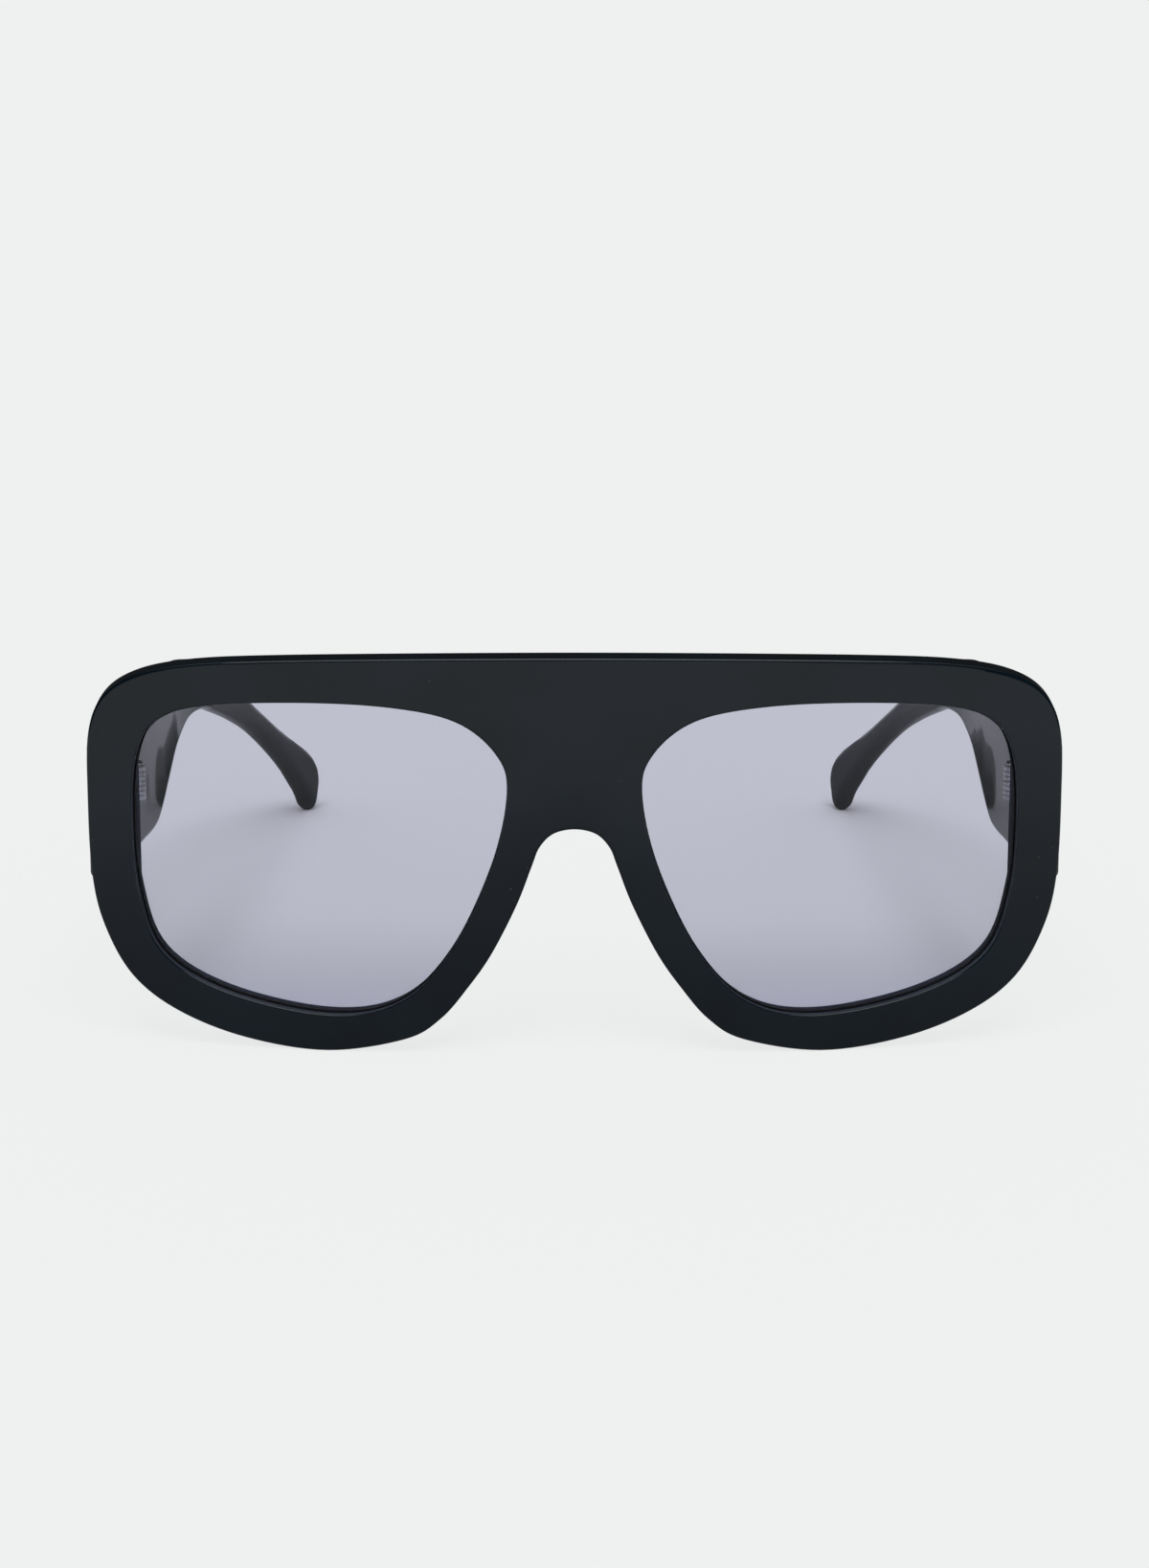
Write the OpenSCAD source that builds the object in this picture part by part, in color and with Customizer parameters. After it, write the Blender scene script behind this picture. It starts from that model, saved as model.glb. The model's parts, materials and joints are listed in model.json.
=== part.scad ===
// Full-rim acetate sunglasses with a wide flat-top front, tinted lenses and two folding temples.
// X runs across the face, with the wearer's left at +X. Y runs from the front face back to the
// temple tips, and Z is up. The glasses stand on the rims and the temple tips at Z = 0.

/* [Lenses] */
// Width of one lens opening
lens_w = 57.5; // [54:0.5:60]
// Height of one lens opening
lens_h = 49.2; // [46:0.2:52]
// Distance between the two lens openings
bridge_w = 20.4; // [18:0.2:23]
// Thickness of a lens
lens_t = 2; // [1.6:0.1:2.4]
// How far the lens lies behind the front face
lens_inset = 1.1; // [0.8:0.1:1.5]
// Depth of the groove that holds the lens
groove_depth = 0.8; // [0.5:0.1:1.1]
// Width of the groove and of the tongue round the lens
groove_w = 1; // [0.8:0.1:1.4]

/* [Front] */
// Width of the rim beside the temples
rim_side = 6.8; // [6:0.1:8]
// Width of the rim above the lens
rim_top = 7.5; // [6:0.1:9]
// Width of the rim below the lens
rim_bottom = 5.8; // [4.5:0.1:7]
// Thickness of the acetate front
front_t = 5.2; // [4.8:0.1:6]
// Radius of the front's curve, seen from above
wrap_radius = 350; // [300:5:450]
// Height of the top of the nose arch above the table
arch_h = 35.9; // [33:0.1:38]
// Width of the nose arch at its shoulders
arch_w = 13; // [11:0.2:15]
// How far the end pieces stand back from the rim
endpiece_t = 1.3; // [0.8:0.1:2]
// How far the flats under the rims are cut into their curve
foot_depth = 0.2; // [0.1:0.1:0.4]
// How far the end pieces and temples stand out past the rim
endpiece_proud = 0.2; // [0:0.1:0.6]

/* [Nose pads] */
// Length of a nose pad
pad_len = 13; // [11:0.5:15]
// Widest diameter of a nose pad
pad_d = 5; // [4.4:0.1:5.6]
// How far the middle line of a pad lies behind the rim
pad_lift = 1.3; // [0.6:0.1:2]
// Lean of the pads from upright
pad_lean = 24; // [18:1:30]
// Distance of a pad's middle from the side of the nose arch
pad_out = 5.5; // [4.5:0.1:6.5]
// Height of a pad's middle, as a share of the arch
pad_share = 0.64; // [0.56:0.01:0.7]

/* [Temples] */
// Depth from the front face to the temple tips
overall_depth = 145; // [138:0.5:150]
// Height of the lower edge of the temple root above the table
root_z = 25; // [23:0.2:27]
// Height of the temple root
root_h = 22.2; // [20:0.2:24]
// Thickness of the temple root
root_t = 6.4; // [5.6:0.1:7]
// Thickness of the temple arm
arm_t = 4; // [3.6:0.1:4.6]
// Thickness of the temple tip
tip_t = 3.4; // [3:0.1:4]
// Height over which the end of the temple tip is rounded
tip_h = 12; // [11:0.5:13]
// Angle at which the temples lean in towards the head
temple_lean = 2; // [1:0.5:4]
// Radius of the inward curve of the temple tips
tip_radius = 212; // [180:2:260]

/* [Core wires] */
// Height of the flat core wire
wire_h = 2.2; // [1.6:0.1:2.6]
// Thickness of the flat core wire
wire_t = 1.3; // [1:0.1:1.6]

/* [Hinges] */
// Height of the middle of the hinges above the table
hinge_z = 39; // [37:0.2:41]
// Diameter of the hinge knuckles
knuckle_d = 2.9; // [2.5:0.1:3.2]
// Height of one knuckle
knuckle_h = 0.72; // [0.65:0.01:0.85]
// Diameter of the hinge screw
screw_d = 1.3; // [1:0.1:1.4]
// Diameter of the screw head
head_d = 2.2; // [1.8:0.1:2.6]
// Distance from the butt face back to the hinge axis
hinge_back = 2.3; // [2.1:0.1:2.8]
// How far the hinge axis lies inwards of the temple's inner face
hinge_in = 0.4; // [0.2:0.1:0.8]
// Thickness of the hinge leaves
leaf_t = 1; // [0.8:0.1:1.2]
// Length of the leaf on the temple
temple_leaf_len = 12; // [10:0.5:14]
// Length of the leaf on the front
front_leaf_len = 5.2; // [4.6:0.1:5.6]
// Diameter of the stakes that anchor the leaves
stake_d = 1.1; // [0.9:0.1:1.3]
// Length of the stakes
stake_len = 1.8; // [1.2:0.1:2]
// Height of the screw head
head_h = 0.55; // [0.4:0.05:0.7]
// Width of the slot in the screw head
slot_w = 0.3; // [0.2:0.05:0.4]
// Depth of the slot in the screw head
slot_depth = 0.25; // [0.15:0.05:0.3]
// Width of the webs that carry the front's knuckles
web_w = 1.4; // [1.2:0.1:1.6]

/* [Fits] */
// Clearance between the lens and its groove
lens_clearance = 0.05; // [0.03:0.01:0.1]
// Clearance round a sunk or glued metal or acetate piece
seat_clearance = 0.03; // [0.02:0.01:0.05]
// Radial clearance between a knuckle and the screw
screw_clearance = 0.04; // [0.02:0.01:0.08]
// Axial clearance between neighbouring knuckles
knuckle_clearance = 0.04; // [0.03:0.01:0.08]
// Gap between the front and the end of an open temple
butt_gap = 0.15; // [0.1:0.05:0.3]
// Clearance round the knuckles in the temple's notch
notch_clearance = 0.2; // [0.15:0.05:0.3]

/* [Hidden] */
$fn = 48;
// Facets of the large cylinders that curve the front
wrap_fn = 900;
// Straight steps between two points of a smooth outline
steps = 5;
// Spare length of a cutting body past the face it cuts
past = 1;
// Number of steps along the plan of a temple
plan_steps = 48;

acetate = [0.06, 0.065, 0.07];
tint = [0.55, 0.55, 0.6, 0.6];
silver = [0.78, 0.78, 0.8];
steel = [0.6, 0.6, 0.62];

// Smooth curves through points
function between(a, b, c, d, t) =
    0.5 * (2 * b + (c - a) * t + (2 * a - 5 * b + 4 * c - d) * t * t
           + (3 * b - a - 3 * c + d) * t * t * t);
function smooth_loop(p) =
    let (n = len(p))
    [for (i = [0 : n - 1], s = [0 : steps - 1])
        between(p[(i + n - 1) % n], p[i], p[(i + 1) % n], p[(i + 2) % n], s / steps)];
function smooth_path(p) =
    let (n = len(p))
    concat([for (i = [0 : n - 2], s = [0 : steps - 1])
        between(p[max(i - 1, 0)], p[i], p[i + 1], p[min(i + 2, n - 1)], s / steps)], [p[n - 1]]);
// Left-hand unit normal of the line from a to b
function side_of(a, b) = [a[1] - b[1], b[0] - a[0]] / norm(b - a);
// A clockwise loop moved outwards by d
function grow(p, d) =
    let (n = len(p))
    [for (i = [0 : n - 1]) p[i] + d * side_of(p[(i + n - 1) % n], p[(i + 1) % n])];
// A path moved sideways by d
function beside(p, d) =
    let (n = len(p))
    [for (i = [0 : n - 1]) p[i] + d * side_of(p[max(i - 1, 0)], p[min(i + 1, n - 1)])];
function reversed(p) = [for (i = [len(p) - 1 : -1 : 0]) p[i]];
// Depth of the curved front at x, on a surface that lies a depth behind its face
function face_y(x, depth) = wrap_radius - sqrt(pow(wrap_radius - depth, 2) - x * x);

// Sizes of the front
half_w = bridge_w / 2 + lens_w + rim_side;
front_h = rim_bottom + lens_h + rim_top;
nasal_x = bridge_w / 2;
temporal_x = nasal_x + lens_w;
face_form = atan2(face_y(temporal_x, 0) - face_y(nasal_x, 0), lens_w);
eye_mid = [(nasal_x + temporal_x) / 2, (face_y(nasal_x, 0) + face_y(temporal_x, 0)) / 2];
butt_y = face_y(half_w, front_t) + endpiece_t;

// Half outline of the front, from the top middle outwards, round the rim and up the nose arch
arch_x = arch_w / 2;
front_half = [
    [0, front_h],
    [half_w * 0.32, front_h * 0.9952],
    [half_w * 0.62, front_h * 0.9824],
    [half_w * 0.79, front_h * 0.965],
    [half_w * 0.897, front_h * 0.933],
    [half_w * 0.963, front_h * 0.8775],
    [half_w * 0.9945, front_h * 0.785],
    [half_w, front_h * 0.63],
    [half_w * 0.996, front_h * 0.43],
    [half_w * 0.972, front_h * 0.295],
    [half_w * 0.915, front_h * 0.17],
    [half_w * 0.82, front_h * 0.085],
    [half_w * 0.68, front_h * 0.025],
    [half_w * 0.51, -foot_depth],
    [arch_x + arch_h * 0.543, arch_h * 0.06],
    [arch_x + arch_h * 0.39, arch_h * 0.155],
    [arch_x + arch_h * 0.27, arch_h * 0.3],
    [arch_x + arch_h * 0.17, arch_h * 0.45],
    [arch_x + arch_h * 0.064, arch_h * 0.665],
    [arch_x, arch_h * 0.835],
    [arch_x * 0.815, arch_h * 0.92],
    [arch_x * 0.492, arch_h * 0.98],
    [0, arch_h]
];
front_outline = smooth_loop(concat(front_half,
    [for (i = [len(front_half) - 2 : -1 : 1]) [-front_half[i][0], front_half[i][1]]]));

// Outline of a lens opening in shares of its width and height, from its nasal edge clockwise
opening_shape = [
    [0, 0.725], [0.03, 0.85], [0.135, 0.95], [0.31, 0.992], [0.55, 1], [0.8, 0.98],
    [0.93, 0.925], [0.985, 0.81], [1, 0.62], [0.987, 0.38], [0.925, 0.18], [0.75, 0.06],
    [0.48, 0], [0.29, 0.045], [0.153, 0.21], [0.042, 0.49]
];
plane_w = lens_w / cos(face_form);
opening = smooth_loop([for (p = opening_shape)
    [(p[0] - 0.5) * plane_w, rim_bottom + p[1] * lens_h]]);

// Temple root in plan, and the hinge axis beside its inner face
outer_x = half_w + endpiece_proud;
inner_x = outer_x - root_t;
hinge_x = inner_x - hinge_in / cos(temple_lean) - hinge_back * tan(temple_lean);
hinge_y = butt_y + hinge_back;
root_top = root_z + root_h;

// Knuckles in turn from the bottom: front, temple, front and so on
knuckles = 7;
pitch = knuckle_h + knuckle_clearance;
stack_h = knuckles * pitch - knuckle_clearance;
stack_z = hinge_z - stack_h / 2;
leaf_start = hinge_x - web_w / 7;
notch_r = knuckle_d / 2 + notch_clearance;
// Height of the notch, with room for the screw head above the knuckles
notch_h = stack_h + knuckle_clearance + head_h + 2 * notch_clearance;
// Places of the two stakes along the leaf of the front and along that of the temple
front_stakes = [0.36, 0.76];
temple_stakes = [0.42, 0.82];

// Depth of the lens's tongue behind the front face
tongue_inset = lens_inset + (lens_t - groove_w) / 2;

// Side view of a temple: share of its length, and heights of its lower and upper edges there
// in shares of their heights at the root
temple_len = overall_depth - butt_y - butt_gap;
temple_edges = [
    [0, 1, 1],
    [0.05, 1.064, 0.996],
    [0.1, 1.048, 0.992],
    [0.15, 1.016, 0.987],
    [0.19, 0.996, 0.984],
    [0.225, 0.996, 0.98],
    [0.27, 1.044, 0.975],
    [0.33, 1.14, 0.966],
    [0.4, 1.248, 0.953],
    [0.475, 1.316, 0.932],
    [0.52, 1.324, 0.912],
    [0.576, 1.296, 0.876],
    [0.62, 1.248, 0.835],
    [0.656, 1.188, 0.79],
    [0.74, 1.012, 0.668],
    [0.82, 0.792, 0.526],
    [0.9, 0.476, 0.38],
    [0.95, 0.204, 0.293]
];
function station(s) = butt_y + butt_gap + s * temple_len;
lower_edge = [for (e = temple_edges) [station(e[0]), root_z * e[1]]];
upper_edge = [for (e = temple_edges) [station(e[0]), root_top * e[2]]];
tip_end = [
    [overall_depth - tip_h * 0.22, tip_h * 0.008],
    [overall_depth - tip_h * 0.133, tip_h * 0.075],
    [overall_depth - tip_h * 0.017, tip_h * 0.3],
    [overall_depth, tip_h * 0.533],
    [overall_depth - tip_h * 0.117, tip_h * 0.8],
    [overall_depth - tip_h * 0.317, tip_h * 0.992]
];
temple_side = smooth_path(concat(lower_edge, tip_end, reversed(upper_edge)));
middle_line = [for (i = [0 : len(temple_edges) - 1]) (lower_edge[i] + upper_edge[i]) / 2];
wire_line = smooth_path([for (i = [3 : len(middle_line) - 2]) middle_line[i]]);

// Plan view of a temple: its inner face runs straight, then curves in towards the head
bend_y = station(0.38);
function ease(t) = t <= 0 ? 0 : t >= 1 ? 1 : t * t * (3 - 2 * t);
function heading(y) = asin(sin(temple_lean) + (y - bend_y) / tip_radius);
function straight_x(y) = inner_x - (y - butt_y) * tan(temple_lean);
function plan_x(y) =
    y < bend_y ? straight_x(y)
               : straight_x(bend_y) - tip_radius * (cos(temple_lean) - cos(heading(y)));
function temple_t(y) =
    root_t + (arm_t - root_t) * ease((y - butt_y) / (station(0.35) - butt_y))
    + (tip_t - arm_t) * ease((y - bend_y) / (overall_depth - bend_y));
plan_ys = [for (i = [0 : plan_steps]) butt_y + (overall_depth + past - butt_y) * i / plan_steps];
inner_face = [for (y = plan_ys) [plan_x(y), y]];
outer_face = [for (y = plan_ys) [plan_x(y) + temple_t(y), y]];
function mid_x(y) = plan_x(y) + temple_t(y) / 2;

// Puts the whole pair in the middle of its own depth
module in_place() {
    translate([0, -overall_depth / 2, 0]) children();
}
// Draws its children for the wearer's left at side 1, and mirrored for the right at side -1
module on_side(side) {
    mirror([side < 0 ? 1 : 0, 0, 0]) children();
}
// Block that holds everything above the table and in front of the tips
module above_table() {
    translate([-outer_x - past, -past, 0])
        cube([2 * (outer_x + past), overall_depth + past, front_h + past]);
}
// Upright cylinder whose surface is the front's curve at a depth behind its face
module curve_cylinder(depth, spare) {
    translate([0, wrap_radius, -spare])
        cylinder(r = wrap_radius - depth, h = front_h + 2 * spare, $fn = wrap_fn);
}
// Layer of the curved front between two depths behind its face
module curved_layer(depth0, depth1) {
    difference() {
        curve_cylinder(depth0, past);
        curve_cylinder(depth1, 2 * past);
    }
}
// Prism of an outline that faces forwards, from y0 back to y1
module facing_prism(outline, y0, y1) {
    translate([0, y1, 0])
        rotate([90, 0, 0])
            linear_extrude(y1 - y0)
                polygon(outline);
}
// Prism through one eye, cut square to its lens
module eye_prism(outline) {
    translate([eye_mid[0], eye_mid[1], 0])
        rotate([0, 0, face_form])
            facing_prism(outline, -3 * front_t, 3 * front_t);
}
// Prism of a side view, right across the glasses' left half
module side_prism(outline) {
    rotate([90, 0, 90])
        linear_extrude(outer_x + past)
            polygon(outline);
}
// Prism of a plan view, from below the table to above the front
module plan_prism(outline) {
    translate([0, 0, -past])
        linear_extrude(front_h + 2 * past)
            polygon(outline);
}
// Places its children at the hinge axis, with y along the temple's inner face
module along_temple() {
    translate([hinge_x, hinge_y, 0])
        rotate([0, 0, temple_lean])
            children();
}

// End piece behind the rim, as tall as the temple root that closes on it
module end_piece() {
    block_y = butt_y - front_t * 0.75;
    block_x = leaf_start - leaf_t / 2;
    translate([block_x, block_y, root_z])
        cube([outer_x - block_x, butt_y - block_y, root_h]);
}
// Leaf let into the end piece, and at a clearance its pocket
module front_leaf(spare) {
    translate([leaf_start - spare, butt_y - leaf_t - spare, stack_z - spare])
        cube([front_leaf_len + 2 * spare, leaf_t + 2 * spare, stack_h + 2 * spare]);
    for (share = front_stakes)
        translate([leaf_start + front_leaf_len * share, butt_y - leaf_t / 2, hinge_z])
            rotate([90, 0, 0])
                cylinder(d = stake_d + 2 * spare, h = leaf_t / 2 + stake_len + spare);
}
// Leaf let into the temple's inner face, and at a clearance its pocket
module temple_leaf(spare) {
    translate([hinge_in - spare, notch_r, stack_z - spare])
        cube([leaf_t + 2 * spare, temple_leaf_len - notch_r + spare, stack_h + 2 * spare]);
    for (share = temple_stakes)
        translate([hinge_in + leaf_t / 2, temple_leaf_len * share, hinge_z])
            rotate([0, 90, 0])
                cylinder(d = stake_d + 2 * spare, h = leaf_t / 2 + stake_len + spare);
}
// Height of the bottom of knuckle i
function knuckle_z(i) = stack_z + i * pitch;

module frame_front() {
    color(acetate)
        in_place()
            difference() {
                intersection() {
                    above_table();
                    union() {
                        intersection() {
                            facing_prism(front_outline, -past, butt_y + past);
                            curved_layer(0, front_t);
                        }
                        for (side = [-1, 1]) on_side(side) end_piece();
                    }
                }
                for (side = [-1, 1])
                    on_side(side) {
                        eye_prism(opening);
                        intersection() {
                            eye_prism(grow(opening, groove_depth));
                            curved_layer(tongue_inset - lens_clearance,
                                         tongue_inset + groove_w + lens_clearance);
                        }
                        front_leaf(seat_clearance);
                    }
            }
}

module lens(side) {
    color(tint)
        in_place()
            on_side(side) {
                intersection() {
                    eye_prism(grow(opening, -lens_clearance));
                    curved_layer(lens_inset, lens_inset + lens_t);
                }
                intersection() {
                    eye_prism(grow(opening, groove_depth - lens_clearance));
                    curved_layer(tongue_inset, tongue_inset + groove_w);
                }
            }
}

module nose_pad(side) {
    pad_x = arch_x + pad_out;
    pad_y = face_y(pad_x, front_t) + pad_lift;
    color(acetate)
        in_place()
            on_side(side)
                intersection() {
                    translate([pad_x, pad_y, arch_h * pad_share])
                        rotate([0, -pad_lean, 0])
                            rotate_extrude($fn = 64)
                                polygon([for (a = [-90 : 9 : 90])
                                    [pad_d / 2 * cos(a), pad_len / 2 * sin(a)]]);
                    curve_cylinder(front_t + seat_clearance, past);
                }
}

module front_hinge(side) {
    color(silver)
        in_place()
            on_side(side)
                difference() {
                    union() {
                        front_leaf(0);
                        for (i = [0 : 2 : knuckles - 1]) {
                            translate([hinge_x, hinge_y, knuckle_z(i)])
                                cylinder(d = knuckle_d, h = knuckle_h);
                            translate([leaf_start, butt_y - leaf_t / 2, knuckle_z(i)])
                                cube([web_w, leaf_t / 2 + hinge_back * 0.8, knuckle_h]);
                        }
                    }
                    translate([hinge_x, hinge_y, stack_z - past])
                        cylinder(d = screw_d + 2 * screw_clearance, h = stack_h + 2 * past);
                }
}

module temple_hinge(side) {
    color(silver)
        in_place()
            on_side(side)
                along_temple()
                    difference() {
                        union() {
                            temple_leaf(0);
                            for (i = [1 : 2 : knuckles - 1]) {
                                translate([0, 0, knuckle_z(i)])
                                    cylinder(d = knuckle_d, h = knuckle_h);
                                translate([0, screw_d / 6, knuckle_z(i)])
                                    cube([hinge_in + leaf_t, notch_r, knuckle_h]);
                            }
                        }
                        translate([0, 0, stack_z - past])
                            cylinder(d = screw_d + 2 * screw_clearance, h = stack_h + 2 * past);
                    }
}

module hinge_screw(side) {
    head_z = stack_z + stack_h + knuckle_clearance;
    color(steel)
        in_place()
            on_side(side)
                translate([hinge_x, hinge_y, 0])
                    difference() {
                        union() {
                            translate([0, 0, stack_z])
                                cylinder(d = screw_d, h = head_z - stack_z + head_h / 2);
                            translate([0, 0, head_z])
                                cylinder(d = head_d, h = head_h);
                        }
                        translate([-head_d, -slot_w / 2, head_z + head_h - slot_depth])
                            cube([2 * head_d, slot_w, slot_depth + past]);
                    }
}

module temple(side) {
    color(acetate)
        in_place()
            on_side(side)
                difference() {
                    intersection() {
                        above_table();
                        side_prism(temple_side);
                        plan_prism(concat(inner_face, reversed(outer_face)));
                    }
                    along_temple() {
                        temple_leaf(seat_clearance);
                        translate([-past, 0, stack_z - seat_clearance])
                            cube([past + hinge_in + leaf_t + seat_clearance, notch_r + past,
                                  stack_h + 2 * seat_clearance]);
                        translate([-past, -hinge_back - past, stack_z - notch_clearance])
                            cube([past + notch_r, hinge_back + past, notch_h]);
                        translate([0, 0, stack_z - notch_clearance])
                            cylinder(r = notch_r, h = notch_h);
                    }
                    wire(seat_clearance);
                }
}

// Flat wire along the middle of the temple, and at a clearance its channel
module wire(spare) {
    half_h = wire_h / 2 + spare;
    half_t = wire_t / 2 + spare;
    intersection() {
        side_prism(concat(beside(wire_line, half_h), reversed(beside(wire_line, -half_h))));
        plan_prism(concat([for (y = plan_ys) [mid_x(y) - half_t, y]],
                          [for (y = reversed(plan_ys)) [mid_x(y) + half_t, y]]));
    }
}
module core_wire(side) {
    color(steel)
        in_place()
            on_side(side)
                wire(0);
}

frame_front();
lens(-1);  // lens_right
lens(1);  // lens_left
nose_pad(-1);  // nose_pad_right
nose_pad(1);  // nose_pad_left
front_hinge(-1);  // front_hinge_right
front_hinge(1);  // front_hinge_left
temple_hinge(-1);  // temple_hinge_right
temple_hinge(1);  // temple_hinge_left
hinge_screw(-1);  // hinge_screw_right
hinge_screw(1);  // hinge_screw_left
temple(-1);  // temple_right
temple(1);  // temple_left
core_wire(-1);  // core_wire_right
core_wire(1);  // core_wire_left
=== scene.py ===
"""Black acetate sunglasses with tinted lenses and two folding temples, built round the packed frame.

X runs across the face, with the wearer's left at +X. Y runs from the front face back to the temple
tips, and Z is up from the table. Outlines are worked out with Y = 0 at the front face and are then
moved forwards by half of the overall depth, as the frame is.
"""

import json
import math
from contextlib import contextmanager

import bmesh
import bpy
import numpy as np
from mathutils import Matrix, Vector


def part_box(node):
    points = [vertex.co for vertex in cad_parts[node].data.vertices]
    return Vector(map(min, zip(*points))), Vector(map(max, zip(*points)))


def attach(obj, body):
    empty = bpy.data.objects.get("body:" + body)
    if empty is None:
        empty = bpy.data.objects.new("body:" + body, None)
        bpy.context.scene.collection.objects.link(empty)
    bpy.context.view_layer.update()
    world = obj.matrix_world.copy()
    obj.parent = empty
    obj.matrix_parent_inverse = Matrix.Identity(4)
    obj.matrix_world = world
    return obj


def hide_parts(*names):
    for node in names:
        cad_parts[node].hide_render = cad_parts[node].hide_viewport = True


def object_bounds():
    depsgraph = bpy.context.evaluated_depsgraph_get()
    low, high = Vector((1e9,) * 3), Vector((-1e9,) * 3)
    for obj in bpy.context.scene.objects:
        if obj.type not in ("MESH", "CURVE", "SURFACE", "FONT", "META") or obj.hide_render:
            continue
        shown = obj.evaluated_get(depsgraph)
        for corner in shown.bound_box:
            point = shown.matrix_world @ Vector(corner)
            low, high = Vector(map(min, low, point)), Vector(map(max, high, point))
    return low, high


bl_info = {
    "name": "Acetate Sunglasses",
    "version": (1, 0, 0),
    "blender": (4, 5, 0),
    "location": "3D View > Sidebar > Sunglasses",
    "description": "Acetate sunglasses with tinted lenses, folding temples and a small studio",
    "category": "Add Mesh",
}

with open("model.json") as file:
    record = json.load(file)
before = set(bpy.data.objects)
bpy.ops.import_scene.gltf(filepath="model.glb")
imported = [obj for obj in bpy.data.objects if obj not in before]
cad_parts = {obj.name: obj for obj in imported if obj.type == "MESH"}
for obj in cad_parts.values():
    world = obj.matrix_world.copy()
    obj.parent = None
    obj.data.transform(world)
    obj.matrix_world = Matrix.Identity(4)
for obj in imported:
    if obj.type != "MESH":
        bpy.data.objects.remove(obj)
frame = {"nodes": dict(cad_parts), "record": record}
CAD_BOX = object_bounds()

MM = 0.001
# Sign of X on the wearer's two sides
SIDES = {"left": 1, "right": -1}
# Slot of a milled wall on the front, and of the ground edge on a lens
SECOND_SLOT = 1
# Distances under which points count as one, and as lying in a plane
ONE_POINT = 1e-7
IN_PLANE = 1e-6
# Width of the strips into which a flat face is cut before it is curved
FRONT_STRIP = 3 * MM
LENS_STRIP = 2 * MM
TEMPLE_STRIP = 2.5 * MM
# Share of the front's thickness that an end piece reaches into it
END_PIECE_REACH = 0.75
# Depth given to a temple while it is flat, before its two faces take their own curves
FLAT_TEMPLE = 20 * MM
# Shares of a temple's length where its taper ends and where its tip starts to curve in
TAPER_END = 0.35
BEND_START = 0.38
# Share of the room inside a tip that the rounding of its edges may take
TIP_ROOM = 0.9
# Share of its thickness on which a tip stands
KEEL_WIDTH = 0.15
# Share by which a nose pad is wider at its lower end, and narrower at its upper one
PAD_TAPER = 0.22
# Distance of a pad's middle behind the rim, and depth to which the pad is let into the rim
PAD_BEHIND = 1.2 * MM
PAD_SUNK = 0.1 * MM
# Corners that stay sharp in the shading, edges of the metal that are bevelled, and flat joints
SHARP_CORNER = math.radians(35)
BEVELLED_EDGE = math.radians(40)
FLAT_JOINT = math.radians(1)
# Metals: their colour, the stretch of their grain, their roughness and their metallic value
METALS = {
    "nickel_silver": ("silver", (300, 300, 9000), 0.3, 0.6),
    "turned_steel": ("steel", (400, 400, 12000), 0.26, 1.0),
    "bright_wire": ("steel", (9000, 200, 9000), 0.34, 1.0)}
# Acetates: their colour, their polish waves, their roughness from and to, and their specular level
ACETATES = {
    "black_acetate": ("acetate", 0.6, 0.03, 0.07, 0.3),
    "tumbled_acetate": ("acetate", 0.15, 0.03, 0.07, 0.25),
    "milled_acetate": ("milled", 0.6, 0.35, 0.5, 0.0)}
# Turn and stretch of each set of hairline scratches
HAIRLINES = ((0.4, (900, 40, 60)), (1.3, (60, 900, 45)), (2.2, (50, 50, 1100)))
# Middle of a lens opening, and the cutter's marks in a radian round it
EYE_X = 39 * MM
EYE_Z = 30 * MM
RIBS = 420.0
# Side of the table in metres
TABLE_SIZE = 40
# Dimming of the table in mirror reflections, with the distances in metres over which it changes:
# near the glasses, where it goes from a share to none, far from them, beside them and behind
NEAR_SHADE = (0.08, 0.3, 0.56, 0.0)
FAR_SHADE = (0.35, 0.6)
SIDE_SHADE = (0.08, 0.1)
BACK_SHADE = (0.0, 0.1)
# Brightness that is left where the dimming is full
FULL_SHADE = 0.03
# Colours of the pale backdrop, and of the dim room that only reflections see
BACKDROP = (0.863, 0.878, 0.871)
DIM_ROOM = (0.02, 0.018, 0.015)


def length(name, default, text):
    """A size in metres for a property group, given here in millimetres."""
    return bpy.props.FloatProperty(
        name=name, description=text, default=default * MM, min=0, precision=4, unit="LENGTH")


def angle(name, default, text):
    """An angle for a property group, given here in degrees."""
    return bpy.props.FloatProperty(
        name=name, description=text, default=math.radians(default), unit="ROTATION")


def share(name, default, text):
    """A plain number from 0 to 1 for a property group."""
    return bpy.props.FloatProperty(name=name, description=text, default=default, min=0, max=1)


def paint(name, default, text):
    """A linear colour for a property group."""
    return bpy.props.FloatVectorProperty(
        name=name, description=text, default=default, min=0, max=1, size=3, subtype="COLOR")


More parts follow.
